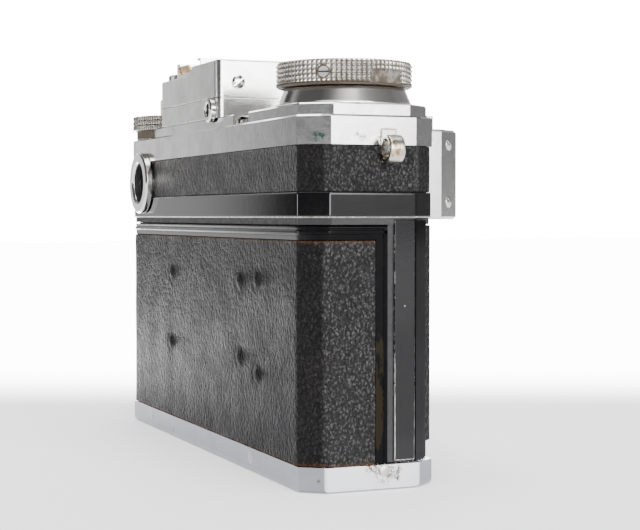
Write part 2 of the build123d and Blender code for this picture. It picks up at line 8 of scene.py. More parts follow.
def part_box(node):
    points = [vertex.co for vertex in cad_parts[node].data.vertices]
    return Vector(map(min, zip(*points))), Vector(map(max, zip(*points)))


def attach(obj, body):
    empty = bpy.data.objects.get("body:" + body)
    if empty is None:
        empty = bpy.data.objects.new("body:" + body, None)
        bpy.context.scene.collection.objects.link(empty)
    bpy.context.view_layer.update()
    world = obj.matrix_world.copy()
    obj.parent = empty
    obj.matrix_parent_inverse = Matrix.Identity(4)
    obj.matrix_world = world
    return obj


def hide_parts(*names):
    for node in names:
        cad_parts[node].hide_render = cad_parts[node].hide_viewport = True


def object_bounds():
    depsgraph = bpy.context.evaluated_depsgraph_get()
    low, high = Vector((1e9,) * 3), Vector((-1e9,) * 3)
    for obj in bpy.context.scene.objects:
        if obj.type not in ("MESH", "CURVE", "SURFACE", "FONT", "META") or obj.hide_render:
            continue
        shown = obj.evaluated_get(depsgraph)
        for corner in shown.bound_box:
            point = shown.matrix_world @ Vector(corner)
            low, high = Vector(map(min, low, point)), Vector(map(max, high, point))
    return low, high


# Looks of a long-base rangefinder camera. Sizes below are in millimetres, and MM makes them metres.
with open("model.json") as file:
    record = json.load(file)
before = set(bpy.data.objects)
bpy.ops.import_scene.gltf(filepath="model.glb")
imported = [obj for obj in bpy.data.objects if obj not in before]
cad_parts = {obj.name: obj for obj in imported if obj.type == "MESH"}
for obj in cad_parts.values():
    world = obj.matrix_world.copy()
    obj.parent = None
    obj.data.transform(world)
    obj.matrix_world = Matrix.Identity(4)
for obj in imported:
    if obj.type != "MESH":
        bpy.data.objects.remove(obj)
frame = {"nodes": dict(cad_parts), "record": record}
cad_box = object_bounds()
MM = 0.001
HALF_LENGTH = 68.0
HALF_DEPTH = 15.8
WINDING_END = -HALF_LENGTH
LENS_Z = 33.0
SIDES = ((-1, "right"), (1, "left"))


def place(node):
    """Lowest and highest corner of a CAD node, in millimetres."""
    low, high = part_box(node)
    return low / MM, high / MM


def middle(node, second="y"):
    """Centre of a CAD node in x and a second axis, in millimetres."""
    low, high = place(node)
    return ((low.x + high.x) / 2, (getattr(low, second) + getattr(high, second)) / 2)


# Camera at the viewing angle
CAMERA_AT = Vector((-0.366288, 0.135736, 0.059108))
HEADING = math.radians(-22.465)
PITCH = math.radians(-1.87)
camera_data = bpy.data.cameras.new("camera")
camera_data.lens = 86.515
camera_data.sensor_width = 36.0
camera_data.clip_start = 0.01
camera = bpy.data.objects.new("camera", camera_data)
level = Vector((math.cos(HEADING), math.sin(HEADING), 0.0))
forward = Vector((math.cos(HEADING) * math.cos(PITCH), math.sin(HEADING) * math.cos(PITCH), math.sin(PITCH)))
camera.location = CAMERA_AT
camera.rotation_euler = forward.to_track_quat("-Z", "Y").to_euler()
bpy.context.scene.collection.objects.link(camera)
bpy.context.scene.camera = camera


# Material helpers
class Nodes:
    """Short calls for the nodes of one material or of the world."""

    def __init__(self, owner):
        owner.use_nodes = True
        self.tree = owner.node_tree

    def add(self, kind, **settings):
        made = self.tree.nodes.new(kind)
        for key, value in settings.items():
            setattr(made, key, value)
        return made

    def feed(self, socket, value):
        """Links a node's output to a socket, or sets the socket to a plain value."""
        if isinstance(value, bpy.types.NodeSocket):
            self.tree.links.new(value, socket)
        else:
            socket.default_value = value

    def span(self, value, low, high, to_low=0.0, to_high=1.0, smooth="SMOOTHSTEP"):
        """Maps low to to_low and high to to_high, and holds the ends."""
        node = self.add("ShaderNodeMapRange", interpolation_type=smooth)
        self.feed(node.inputs["Value"], value)
        node.inputs["From Min"].default_value = low
        node.inputs["From Max"].default_value = high
        node.inputs["To Min"].default_value = to_low
        node.inputs["To Max"].default_value = to_high
        return node.outputs["Result"]

    def maths(self, operation, a, b=0.0):
        node = self.add("ShaderNodeMath", operation=operation)
        self.feed(node.inputs[0], a)
        self.feed(node.inputs[1], b)
        return node.outputs[0]

    def times(self, a, b):
        return self.maths("MULTIPLY", a, b)

    def plus(self, a, b):
        return self.maths("ADD", a, b)

    def minus(self, a, b):
        return self.maths("SUBTRACT", a, b)

    def off(self, value, centre):
        """Distance of a value from a number."""
        return self.maths("ABSOLUTE", self.minus(value, centre))

    def mix(self, factor, a, b):
        node = self.add("ShaderNodeMix", data_type="RGBA")
        self.feed(node.inputs["Factor"], factor)
        for socket, value in ((node.inputs[6], a), (node.inputs[7], b)):
            if not isinstance(value, bpy.types.NodeSocket):
                value = (*value, 1.0)
            self.feed(socket, value)
        return node.outputs[2]

    def part(self, vector, index):
        """One of the three parts of a vector."""
        node = self.add("ShaderNodeSeparateXYZ")
        self.feed(node.inputs[0], vector)
        return node.outputs[index]


class Shade(Nodes):
    """One material whose patterns are measured in millimetres."""

    def __init__(self, name):
        self.material = bpy.data.materials.new(name)
        super().__init__(self.material)
        self.shader = self.tree.nodes["Principled BSDF"]
        scale = self.add("ShaderNodeVectorMath", operation="SCALE")
        scale.inputs["Scale"].default_value = 1 / MM
        self.feed(scale.inputs[0], self.add("ShaderNodeTexCoord").outputs["Object"])
        self.point = scale.outputs[0]

    def stretched(self, x, y, z):
        node = self.add("ShaderNodeVectorMath", operation="MULTIPLY")
        self.feed(node.inputs[0], self.point)
        node.inputs[1].default_value = (x, y, z)
        return node.outputs[0]

    def noise(self, scale, detail=4.0, rough=0.6, point=None):
        node = self.add("ShaderNodeTexNoise")
        self.feed(node.inputs["Vector"], point or self.point)
        node.inputs["Scale"].default_value = scale
        node.inputs["Detail"].default_value = detail
        node.inputs["Roughness"].default_value = rough
        return node.outputs["Fac"]

    def cells(self, scale, feature="F1", point=None):
        node = self.add("ShaderNodeTexVoronoi", feature=feature)
        self.feed(node.inputs["Vector"], point or self.point)
        node.inputs["Scale"].default_value = scale
        return node.outputs["Distance"]

    def stored(self, name):
        """Value that the mesh keeps at its points under this name."""
        return self.add("ShaderNodeAttribute", attribute_name=name).outputs["Fac"]

    def near(self, centre, radius, soft=0.5):
        """1 inside a ball round a point in millimetres, fading to 0 over its edge."""
        node = self.add("ShaderNodeVectorMath", operation="DISTANCE")
        self.feed(node.inputs[0], self.point)
        node.inputs[1].default_value = centre
        return self.span(node.outputs["Value"], radius * (1 - soft), radius * (1 + soft), 1.0, 0.0)

    def stained(self, color, marks, soft, grain, low):
        """Ragged stains, each from its (centre, radius, tint), over a colour."""
        for centre, radius, stain in marks:
            inside = self.near(centre, radius, soft)
            color = self.mix(self.times(inside, self.span(self.noise(grain, 4.0), low, 0.6)), color, stain)
        return color

    def axis(self, index):
        return self.part(self.point, index)

    def bump(self, height, depth, after=None):
        """Relief of the given depth in millimetres."""
        node = self.add("ShaderNodeBump")
        self.feed(node.inputs["Height"], height)
        node.inputs["Distance"].default_value = depth * MM
        if after:
            self.feed(node.inputs["Normal"], after)
        return node.outputs["Normal"]

    def out(self, **sockets):
        names = {
            "color": "Base Color", "rough": "Roughness", "metal": "Metallic", "normal": "Normal",
            "ior": "IOR", "glass": "Transmission Weight", "specular": "Specular IOR Level",
        }
        for key, value in sockets.items():
            if isinstance(value, tuple):
                value = (*value, 1.0)
            self.feed(self.shader.inputs[names[key]], value)
        return self.material


def chrome(name, tint, rough, grain, grime=0.25, marks=(), lit_end_tint=None, shade_ledge=None):
    """Plated metal: a fine blasted or polished grain, dull patches, pits and faint grime.

    The tint given for the winding end paints that end lighter, a painted highlight, and the ledge height
    puts a dark line across that end, painted shade along the step's ledge.
    """
    s = Shade(name)
    patches = s.noise(0.16, 5.0)
    fine = s.noise(7.0, 2.0)
    pits = s.span(s.cells(0.55), 0.0, 0.07, 1.0, 0.0)
    pits = s.times(pits, s.span(s.noise(0.3), 0.52, 0.6))
    dull = s.span(patches, 0.35, 0.75)
    dark = tuple(0.72 * c for c in tint)
    color = s.mix(s.times(dull, grime), tint, dark)
    # The winding end takes its own lighter tint: a painted highlight.
    if lit_end_tint is not None:
        color = s.mix(s.span(s.axis(0), WINDING_END + 0.2, WINDING_END + 0.6), lit_end_tint, color)
    # A dark line across the winding end, just under the step's ledge: painted shade.
    if shade_ledge is not None:
        height = s.axis(2)
        above = s.span(height, shade_ledge - 0.45, shade_ledge - 0.3)
        line = s.times(above, s.span(height, shade_ledge + 0.05, shade_ledge + 0.2, 1.0, 0.0))
        line = s.times(line, s.span(s.axis(0), WINDING_END + 1.1, WINDING_END + 1.6, 0.85, 0.0))
        color = s.mix(line, color, (0.06, 0.06, 0.055))
    color = s.mix(pits, color, (0.10, 0.085, 0.06))
    color = s.stained(color, marks, 0.6, 1.3, 0.38)
    roughness = s.plus(s.span(patches, 0.3, 0.7, rough * 0.85, rough * 1.25), s.times(pits, 0.4))
    scratches = s.noise(2.2, 3.0, 0.7, s.stretched(0.25, 0.25, 3.0))
    height = s.plus(fine, s.times(scratches, 0.5))
    normal = s.bump(height, grain, s.bump(s.noise(0.35, 2.0), grain * 3.0))
    return s.out(color=color, rough=roughness, metal=1.0, normal=normal)


def knurled(name, tint, rough):
    """Worn knurling: bright tips, brown grime in the grooves and painted shade, read from the mesh's depth
    value.
    """
    s = Shade(name)
    dirt_and_shade = s.plus(s.stored("depth"), s.span(s.noise(0.5, 4.0), 0.3, 0.7, -0.12, 0.12))
    dirt_and_shade = s.span(dirt_and_shade, 0.50, 0.92)
    color = s.mix(dirt_and_shade, tint, (0.06, 0.045, 0.03))
    roughness = s.plus(s.span(s.noise(0.6), 0.3, 0.7, rough * 0.8, rough * 1.3), s.times(dirt_and_shade, 0.4))
    metal = s.span(dirt_and_shade, 0.0, 1.0, 1.0, 0.1)
    normal = s.bump(s.noise(5.0, 3.0), 0.012)
    return s.out(color=color, rough=roughness, metal=metal, normal=normal)


def leather(name, light, scale=1.0, brown_above=None, brown_below=None, marks=(), flat=1.0):
    """Pebbled black leather with creases, browned cut edges and glints on its tops at the winding end.

    flat scales the sheen away from that end.
    """
    s = Shade(name)
    warp = s.add("ShaderNodeVectorMath", operation="ADD")
    wobble = s.add("ShaderNodeTexNoise")
    s.feed(wobble.inputs["Vector"], s.point)
    wobble.inputs["Scale"].default_value = 0.9
    s.feed(warp.inputs[0], s.stretched(1.0, 1.0, 0.72))
    s.feed(warp.inputs[1], wobble.outputs["Color"])
    point = warp.outputs[0]
    pebble = s.cells(0.95 * scale, "SMOOTH_F1", point)
    crease = s.span(s.cells(0.95 * scale, "DISTANCE_TO_EDGE", point), 0.0, 0.16)
    small = s.noise(3.4 * scale, 3.0)
    height = s.plus(s.times(crease, 0.35), s.times(small, 0.55))
    height = s.minus(height, s.times(pebble, 0.8))
    patches = s.noise(0.12, 4.0)
    color = s.mix(s.span(patches, 0.35, 0.7), light, tuple(c * 1.5 for c in light))
    # Creases darkened: painted shade.
    color = s.mix(s.span(crease, 0.0, 0.6, 0.5, 0.0), color, tuple(c * 0.35 for c in light))
    z = s.axis(2)
    ragged = s.times(s.noise(0.9, 4.0), 1.5)
    for edge, sign in ((brown_above, 1.0), (brown_below, -1.0)):
        if edge is None:
            continue
        reach = s.plus(s.times(s.minus(z, edge), sign), ragged)
        color = s.mix(s.span(reach, 0.35, 0.95, 0.0, 0.85), color, (0.045, 0.022, 0.010))
    color = s.stained(color, marks, 0.5, 1.5, 0.35)
    rough = s.plus(s.span(patches, 0.3, 0.7, 0.22, 0.34), s.times(small, 0.12))
    x = s.axis(0)
    polish = s.plus(0.08, s.span(x, WINDING_END + 0.7, WINDING_END + 1.4, 0.3, 0.0))
    tops = s.span(s.cells(1.9 * scale, "F1", point), 0.12, 0.58, 1.7, 0.0)
    tops = s.times(tops, s.span(x, WINDING_END + 2.0, WINDING_END + 7.0, 1.0, 0.0))
    polish = s.times(polish, s.plus(tops, s.span(x, WINDING_END + 2.0, WINDING_END + 7.0, 0.42, flat)))
    normal = s.bump(height, 0.55, s.bump(s.noise(0.25, 3.0), 0.12))
    return s.out(color=color, rough=rough, normal=normal, specular=polish)


def enamel(name, rough=0.07, chip_edges=None, brown_patch=None, kept_above=None, sides=None,
           dull_ends=None):
    """Glossy black paint with dust, fine scratches and orange peel.

    chip_edges bares metal along the mesh's edges, less so above kept_above. sides bares it at the rim of
    a box. brown_patch is the height range of worn paint, and dull_ends the sheen at both ends.
    """
    s = Shade(name)
    color = s.mix(s.span(s.noise(0.3, 4.0), 0.4, 0.7), (0.0025, 0.0025, 0.003), (0.004, 0.0035, 0.0035))
    dust = s.span(s.cells(0.9), 0.0, 0.06, 1.0, 0.0)
    color = s.mix(dust, color, (0.03, 0.028, 0.026))
    metal = 0.0
    if chip_edges is not None:
        chips = s.noise(1.4, 6.0, 0.75, s.stretched(1.0, 1.0, 0.6))
        edge = s.stored("edge")
        if kept_above is not None:
            edge = s.minus(edge, s.span(s.axis(2), kept_above - 0.9, kept_above - 0.5, 0.0, 0.5))
        worn = s.span(s.plus(edge, s.times(chips, chip_edges)), 1.04, 1.12)
        color = s.mix(worn, color, (0.62, 0.61, 0.58))
        metal = worn
    if sides is not None:
        low, high = sides
        y = s.axis(1)
        z = s.axis(2)
        near_low = s.span(s.off(y, low.y), 0.0, 0.55, 1.0, 0.0)
        near_high = s.span(s.off(y, high.y), 0.0, 0.55, 1.0, 0.0)
        near_foot = s.span(z, low.z, low.z + 0.7, 1.0, 0.0)
        rim = s.maths("MAXIMUM", s.maths("MAXIMUM", near_low, near_high), near_foot)
        flakes = s.noise(1.1, 6.0, 0.75, s.stretched(1.0, 1.6, 0.5))
        flakes = s.minus(flakes, s.span(z, 8.0, 40.0, 0.0, 0.22))
        worn = s.span(s.times(rim, s.plus(flakes, 0.5)), 0.78, 0.88)
        specks = s.span(s.cells(0.8), 0.10, 0.20, 1.0, 0.0)
        specks = s.times(specks, s.span(s.noise(0.5, 3.0), 0.62, 0.66))
        worn = s.maths("MAXIMUM", worn, s.times(specks, s.span(z, 20.0, 50.0, 0.9, 0.25)))
        color = s.mix(worn, color, (0.55, 0.54, 0.50))
        metal = worn
        rough = s.plus(s.times(worn, 0.25), rough)
    if brown_patch is not None:
        low, high = brown_patch
        z = s.axis(2)
        inside = s.times(s.span(z, low, low + 5.0), s.span(z, high - 10.0, high, 1.0, 0.0))
        ragged = s.noise(0.55, 5.0, 0.65, s.stretched(1.0, 1.0, 0.4))
        patch = s.times(s.span(s.times(inside, ragged), 0.42, 0.50), s.stored("margin"))
        color = s.mix(patch, color, (0.010, 0.0075, 0.0035))
        rough = s.plus(s.times(patch, 0.3), rough)
    scratch = s.noise(1.6, 3.0, 0.7, s.stretched(0.15, 0.15, 5.0))
    normal = s.bump(s.noise(0.5, 2.0), 0.005, s.bump(scratch, 0.0015))
    specular = 0.36
    if dull_ends is not None:
        specular = s.span(s.maths("ABSOLUTE", s.axis(0)), 60.0, 66.0, specular, dull_ends)
    return s.out(color=color, rough=rough, metal=metal, normal=normal, specular=specular)


def painted(name, tint, rough):
    """Matte black lacquer inside the body."""
    s = Shade(name)
    color = s.mix(s.noise(0.4, 4.0), tint, tuple(c * 1.8 for c in tint))
    roughness = s.span(s.noise(0.8), 0.3, 0.7, rough, rough + 0.15)
    return s.out(color=color, rough=roughness, normal=s.bump(s.noise(3.0), 0.02))


def clear_glass(name, tint):
    """Coated glass with faint haze."""
    s = Shade(name)
    haze = s.span(s.noise(0.5, 4.0), 0.45, 0.8, 0.02, 0.10)
    return s.out(color=tint, rough=haze, ior=1.5, glass=0.9)


END_STRIP = (Vector((-HALF_LENGTH, -9.8, 6.2)), Vector((HALF_LENGTH, -5.0, 58.0)))
GREEN = (0.03, 0.22, 0.14)
RUST = (0.16, 0.09, 0.045)
SOOT = (0.03, 0.025, 0.02)
HIDE = (0.0085, 0.0080, 0.0080)
looks = {
    "satin": chrome("satin_chrome", (0.70, 0.70, 0.69), 0.16, 0.006, 0.3,
                    marks=(((-6.5, 15.6, 81.5), 1.0, RUST),)),
    # The top plate's winding end carries a dark line of painted shade along its step.
    "top": chrome("top_chrome", (0.68, 0.68, 0.675), 0.16, 0.006, 0.35, marks=(
        ((-66.1, 12.2, 75.6), 1.0, GREEN), ((-66.7, 11.4, 75.6), 0.7, GREEN),
        ((-68.2, 4.1, 76.0), 0.6, SOOT),
        ((-68.2, 2.7, 75.4), 0.7, SOOT)), shade_ledge=place("top_plate")[1].z - 2.6),
    # Base plate: a dark tint for its back, painted shade, and a light tint for its winding end, a painted
    # highlight.
    "base": chrome("base_chrome", (0.27, 0.275, 0.30), 0.18, 0.010, 0.3, lit_end_tint=(0.85, 0.86, 0.88), marks=(
        ((-68.0, -2.7, 4.1), 2.2, RUST), ((26.0, 15.8, 2.0), 1.2, GREEN), ((-68.0, 0.5, 5.2), 1.4, RUST),
        ((-68.0, -5.7, 4.2), 0.9, SOOT), ((-68.0, -5.7, 2.6), 0.7, SOOT),
        ((-66.5, 11.9, 2.6), 0.5, SOOT))),
    "polished": chrome("polished_chrome", (0.76, 0.75, 0.73), 0.12, 0.006),
    "knob": knurled("knurled_chrome", (0.44, 0.42, 0.39), 0.20),
    "ring": knurled("ring_chrome", (0.42, 0.40, 0.36), 0.24),
    "aluminium": chrome("aluminium", (0.66, 0.66, 0.67), 0.34, 0.010, 0.2),
    "steel": chrome("steel", (0.50, 0.49, 0.47), 0.35, 0.012, 0.4),
    "brass": chrome("worn_brass", (0.30, 0.17, 0.06), 0.34, 0.020, 0.8),
    "lug": chrome("lug_worn", (0.62, 0.60, 0.55), 0.22, 0.020, 0.6, marks=(
        ((-73.3, -2.6, 72.6), 1.5, (0.30, 0.17, 0.06)), ((-69.8, -1.5, 71.6), 2.0, (0.12, 0.09, 0.05)),
        ((-72.6, -1.8, 74.6), 1.2, (0.25, 0.18, 0.10)))),
    "band": leather("band_leather", HIDE, 1.0, flat=1.15,
                    marks=(((20.8, 15.8, 74.0), 2.2, (0.02, 0.012, 0.010)),)),
    "back": leather("back_leather", HIDE, 0.95, brown_above=53.2, brown_below=6.0, flat=0.7),
    "front": leather("front_leather", HIDE),
    "enamel": enamel("black_enamel"),
    "strip": enamel("strip_enamel", 0.06, chip_edges=0.15, kept_above=place("black_strip")[1].z),
    "ends": enamel("end_strip_enamel", 0.05, sides=END_STRIP),
    "shell": enamel("back_enamel", 0.10, brown_patch=(5.0, 40.0), dull_ends=0.06),
    "margin": enamel("margin_enamel", 0.08, chip_edges=0.1, dull_ends=0.04),
    "inside": painted("inside_black", (0.004, 0.004, 0.0045), 0.5),
    "glass": clear_glass("window_glass", (0.82, 0.88, 0.90)),
}


# Mesh helpers: every shape is made from a few profile points, in millimetres
def steady_normals(mesh, limit):
    """Keeps large flats flat: each corner's normal follows the larger of the smooth faces round it."""
    around = [[] for _ in mesh.vertices]
    for face in mesh.polygons:
        for corner in face.vertices:
            around[corner].append(face.index)
    facing = [face.normal.copy() for face in mesh.polygons]
    areas = [face.area for face in mesh.polygons]
    normals = []
    for face in mesh.polygons:
        for corner in face.vertices:
            total = Vector()
            for other in around[corner]:
                if facing[other].dot(facing[face.index]) > limit:
                    total += facing[other] * areas[other]
            normals.append(total.normalized() if total.length > 0 else facing[face.index])
    mesh.normals_split_custom_set(normals)


def solid_mesh(name, verts, faces):
    """Mesh from points in millimetres, with its faces turned outwards."""
    mesh = bpy.data.meshes.new(name)
    mesh.from_pydata([Vector(v) * MM for v in verts], [], faces)
    work = bmesh.new()
    work.from_mesh(mesh)
    bmesh.ops.recalc_face_normals(work, faces=work.faces)
    work.to_mesh(mesh)
    work.free()
    return mesh


def finish_piece(name, verts, faces, look, body, node=None, values=None, sharp=35):
    """Makes one piece from points in millimetres and hangs it on its body."""
    mesh = solid_mesh(name, verts, faces)
    for key, numbers in (values or {}).items():
        mesh.attributes.new(key, "FLOAT", "POINT").data.foreach_set("value", numbers)
    work = bmesh.new()
    work.from_mesh(mesh)
    for face in work.faces:
        face.smooth = True
    for edge in work.edges:
        edge.smooth = len(edge.link_faces) == 2 and edge.calc_face_angle() < math.radians(sharp)
    work.to_mesh(mesh)
    work.free()
    steady_normals(mesh, math.cos(math.radians(sharp)))
    piece = bpy.data.objects.new(name, mesh)
    bpy.context.scene.collection.objects.link(piece)
    mesh.materials.append(looks[look])
    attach(piece, body)
    if node:
        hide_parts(node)
    return piece


def finish_mesh(name, mesh, look, body, node=None, carve=(), sharp=35, placed=Matrix()):
    """finish_piece for a mesh in metres, after its cuts. placed moves it, in millimetres."""
    for cut in carve:
        mesh = carved(mesh, *cut)
    verts = [tuple(placed @ (v.co / MM)) for v in mesh.vertices]
    faces = [tuple(p.vertices) for p in mesh.polygons]
    return finish_piece(name, verts, faces, look, body, node, None, sharp)


def softened(points, radius, steps=4, step=None, closed=True):
    """Rounds a polyline's corners. Gives (a, b, edge), where edge is 1 at a corner and fades from it."""
    made = []
    count = len(points)
    for i, point in enumerate(points):
        here = Vector(point[:2])
        if not closed and i in (0, count - 1):
            made.append((here, 0.0))
            continue
        before = Vector(points[i - 1][:2]) - here
        after = Vector(points[(i + 1) % count][:2]) - here
        angle = before.angle(after)
        reach = min(radius / math.tan(angle / 2), 0.45 * before.length, 0.45 * after.length)
        if math.pi - angle < 0.02 or reach < 1e-4:
            made.append((here, 0.0))
            continue
        start = here + before.normalized() * reach
        end = here + after.normalized() * reach
        for k in range(steps + 1):
            t = k / steps
            made.append(((1 - t) ** 2 * start + 2 * t * (1 - t) * here + t * t * end, 1.0))
    result = []
    for i, (here, edge) in enumerate(made):
        result.append((here.x, here.y, edge))
        if not closed and i == len(made) - 1:
            break
        after, _ = made[(i + 1) % len(made)]
        gap = (after - here).length
        if step and gap > step * 1.5:
            pieces = int(math.ceil(gap / step))
            for k in range(1, pieces):
                spot = here.lerp(after, k / pieces)
                away = min(k, pieces - k) * gap / pieces
                result.append((spot.x, spot.y, math.exp(-away / 0.35)))
    return result


def grid_faces(rows, columns, close_rows, close_columns):
    faces = []
    for i in range(rows if close_rows else rows - 1):
        for j in range(columns if close_columns else columns - 1):
            a = i * columns + j
            b = i * columns + (j + 1) % columns
            c = ((i + 1) % rows) * columns + (j + 1) % columns
            d = ((i + 1) % rows) * columns + j
            faces.append((a, b, c, d))
    return faces


def turned(name, profile, look, body, node=None, slot=None, at=(0, 0), along="Z", radius=0.25,
           segments=144, knurl=None, shaded_below=None):
    """Turned piece from (radius, height) points. knurl = (low, high, teeth, rows, depth, keep).

    keep(turn, height, sunk) may change the knurl's depth and its dark value, grime and painted shade;
    everything below the given shade height is painted dark, painted shade under a rim.
    """
    loop = softened(profile, radius, 4, 0.8 if knurl is None else None)
    if knurl:
        low, high, teeth, rows, depth, keep = knurl
        segments = teeth * 6
        outer = max(p[0] for p in loop)
        refined = []
        for i, point in enumerate(loop):
            refined.append(point)
            after = loop[(i + 1) % len(loop)]
            if min(point[0], after[0]) > outer - 0.05 and abs(after[1] - point[1]) > 0.4:
                count = max(2, rows * 6)
                for k in range(1, count):
                    t = k / count
                    refined.append((outer, point[1] + (after[1] - point[1]) * t, 0.0))
        loop = refined
    verts = []
    grime_and_shade_values = []
    for i in range(segments):
        turn = 2 * math.pi * i / segments
        for r, h, _ in loop:
            # Everything below the shade height is painted dark: painted shade.
            dirt_and_shade = 1.0 if shaded_below is not None and h < shaded_below else 0.0
            if knurl and r > outer - 0.06:
                u = abs(2 * ((i / 6) % 1) - 1)
                v = abs(2 * (((h - low) / (high - low) * rows) % 1) - 1) if rows > 1 else 0.0
                sunk = max(u, 0.85 * v) if low - 0.01 <= h <= high + 0.01 else 0.25
                dirt_and_shade = sunk
                if keep:
                    sunk, dirt_and_shade = keep(turn, h, sunk)
                r -= depth * sunk
            grime_and_shade_values.append(dirt_and_shade)
            if along == "Z":
                verts.append((at[0] + r * math.cos(turn), at[1] + r * math.sin(turn), h))
            else:
                verts.append((at[0] + r * math.cos(turn), h, at[1] + r * math.sin(turn)))
    faces = grid_faces(segments, len(loop), True, True)
    return finish_piece(name, verts, faces, look, body, node, {"depth": grime_and_shade_values}, 40)


def outward(line, closed, side=1):
    """Path of (x, y, normal x, normal y, edge) from a line of (x, y, edge). side -1 faces its right."""
    path = []
    last = len(line) - 1
    for i, (x, y, edge) in enumerate(line):
        before = line[i - 1] if closed or i else line[0]
        after = line[(i + 1) % len(line)] if closed or i < last else line[last]
        way = Vector((after[0] - before[0], after[1] - before[1])).normalized() * side
        path.append((x, y, -way.y, way.x, edge))
    return path


# Chamfer at the body's four corners, along it and across it
RUN = 4.4
DEPTH = 5.8


def plan_path(inset, radius, front=None, step=0.8):
    """Path round the body's outline. front cuts it to what lies behind that y."""
    x = HALF_LENGTH - inset
    y = HALF_DEPTH - inset
    corners = [(-x, y - DEPTH), (RUN - x, y), (x - RUN, y), (x, y - DEPTH)]
    if front is None:
        corners += [(x, DEPTH - y), (x - RUN, -y), (RUN - x, -y), (-x, DEPTH - y)]
    else:
        corners = [(-x, front)] + corners + [(x, front)]
    closed = front is None
    return outward(softened(corners, radius, 6, step, closed), closed)


def swept(name, section, path, closed, look, body, node=None, radius=0.2, step=0.25,
          push=None, corner_wear=1.0, margin=None):
    """Wall that follows the plan. section is (outwards, z) points; push moves points outwards."""
    loop = softened(section, radius, 3, step)
    verts = []
    edges = []
    margins = []
    for x, y, nx, ny, bend in path:
        for out, z, edge in loop:
            extra = push(x, y, z, nx, ny) if push and out > -0.35 else 0.0
            verts.append((x + nx * (out + extra), y + ny * (out + extra), z))
            edges.append(max(edge, bend * corner_wear))
            margins.append(margin(x, y, z) if margin else 0.0)
    faces = grid_faces(len(path), len(loop), closed, True)
    if not closed:
        last = (len(path) - 1) * len(loop)
        faces += [tuple(range(len(loop))), tuple(last + j for j in reversed(range(len(loop))))]
    return finish_piece(name, verts, faces, look, body, node, {"edge": edges, "margin": margins}, 50)


def soft_block(name, low, high, look, body, node=None, bevel=0.3, segments=3, carve=()):
    """Block with rounded edges."""
    work = bmesh.new()
    outline = [(low[0], low[2]), (high[0], low[2]), (high[0], high[2]), (low[0], high[2])]
    face = work.faces.new([work.verts.new(Vector((x, low[1], z)) * MM) for x, z in outline])
    grown = bmesh.ops.extrude_face_region(work, geom=[face])
    moved = [v for v in grown["geom"] if isinstance(v, bmesh.types.BMVert)]
    bmesh.ops.translate(work, verts=moved, vec=(0, (high[1] - low[1]) * MM, 0))
    bmesh.ops.recalc_face_normals(work, faces=work.faces)
    bmesh.ops.bevel(work, geom=work.edges[:], offset=bevel * MM, segments=segments, profile=0.5,
                    affect="EDGES", clamp_overlap=True)
    mesh = bpy.data.meshes.new(name)
    work.to_mesh(mesh)
    work.free()
    return finish_mesh(name, mesh, look, body, node, carve)


def carved(mesh, low, high, along=None):
    """A mesh less a box in millimetres, or less the cylinder that fills the box along an axis."""
    holder = bpy.data.objects.new("carving", mesh)
    cutter_mesh = bpy.data.meshes.new("cutter")
    work = bmesh.new()
    if along is None:
        bmesh.ops.create_cube(work, size=1.0)
    else:
        bmesh.ops.create_cone(work, cap_ends=True, segments=64, radius1=0.5, radius2=0.5, depth=1.0)
        tilt = {"Y": Matrix.Rotation(math.pi / 2, 4, "X"), "Z": Matrix()}
        bmesh.ops.transform(work, matrix=tilt[along], verts=work.verts)
    size = (Vector(high) - Vector(low)) * MM
    fitted = Matrix.Translation((Vector(low) + Vector(high)) / 2 * MM) @ Matrix.Diagonal((*size, 1))
    bmesh.ops.transform(work, matrix=fitted, verts=work.verts)
    work.to_mesh(cutter_mesh)
    work.free()
    cutter = bpy.data.objects.new("cutter", cutter_mesh)
    for thing in (holder, cutter):
        bpy.context.scene.collection.objects.link(thing)
    cut = holder.modifiers.new("cut", "BOOLEAN")
    cut.object = cutter
    cut.operation = "DIFFERENCE"
    bpy.context.view_layer.update()
    result = bpy.data.meshes.new_from_object(holder.evaluated_get(bpy.context.evaluated_depsgraph_get()))
    for thing in (holder, cutter):
        bpy.data.objects.remove(thing)
    return result


FOOT = 0.02


def case(name, xs, ys, low, top, corner, edge, look, body, node, carve=()):
    """Box with rounded upright corners and a rounded upper edge whose height follows top(x)."""
    stations = []
    for k in range(9):
        t = math.radians(90 * k / 8)
        stations.append((corner * (1 - math.cos(t)), corner * (1 - math.sin(t))))
    length = xs[1] - xs[0]
    inner = [corner + (length - 2 * corner) * k / 60 for k in range(1, 60)]
    every = [(xs[0] + dx, pull, dx) for dx, pull in stations]
    every += [(xs[0] + d, 0.0, min(d, length - d)) for d in inner]
    every += [(xs[1] - dx, pull, dx) for dx, pull in reversed(stations)]
    verts = []
    columns = 0
    for x, pull, dx in every:
        near = edge - min(dx, edge)
        high = top(x) - (edge - math.sqrt(edge * edge - near * near))
        y0, y1 = ys[0] + pull, ys[1] - pull
        row = [(y0 + FOOT, low), (y0, low + FOOT)]
        turns = [math.radians(a) for a in range(0, 91, 15)]
        arc = [(edge * (1 - math.cos(t)), edge * (1 - math.sin(t))) for t in turns]
        row += [(y0 + a, high - b) for a, b in arc]
        row += [(y0 + edge + (y1 - y0 - 2 * edge) * k / 12, high) for k in range(1, 12)]
        row += [(y1 - a, high - b) for a, b in reversed(arc)]
        row += [(y1, low + FOOT), (y1 - FOOT, low)]
        columns = len(row)
        verts += [(x, y, z) for y, z in row]
    faces = grid_faces(len(every), columns, False, True)
    last = (len(every) - 1) * columns
    faces += [tuple(range(columns)), tuple(last + j for j in reversed(range(columns)))]
    return finish_mesh(name, solid_mesh(name, verts, faces), look, body, node, carve, 25)


def joined(name, parts, node=None):
    """Several shells of one real piece as one object."""
    first = parts[0]
    work = bmesh.new()
    for part in parts:
        work.from_mesh(part.data)
    work.to_mesh(first.data)
    work.free()
    for part in parts[1:]:
        bpy.data.objects.remove(part)
    first.name = name
    if node:
        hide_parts(node)
    return first


SLOT_WIDTH = 0.36


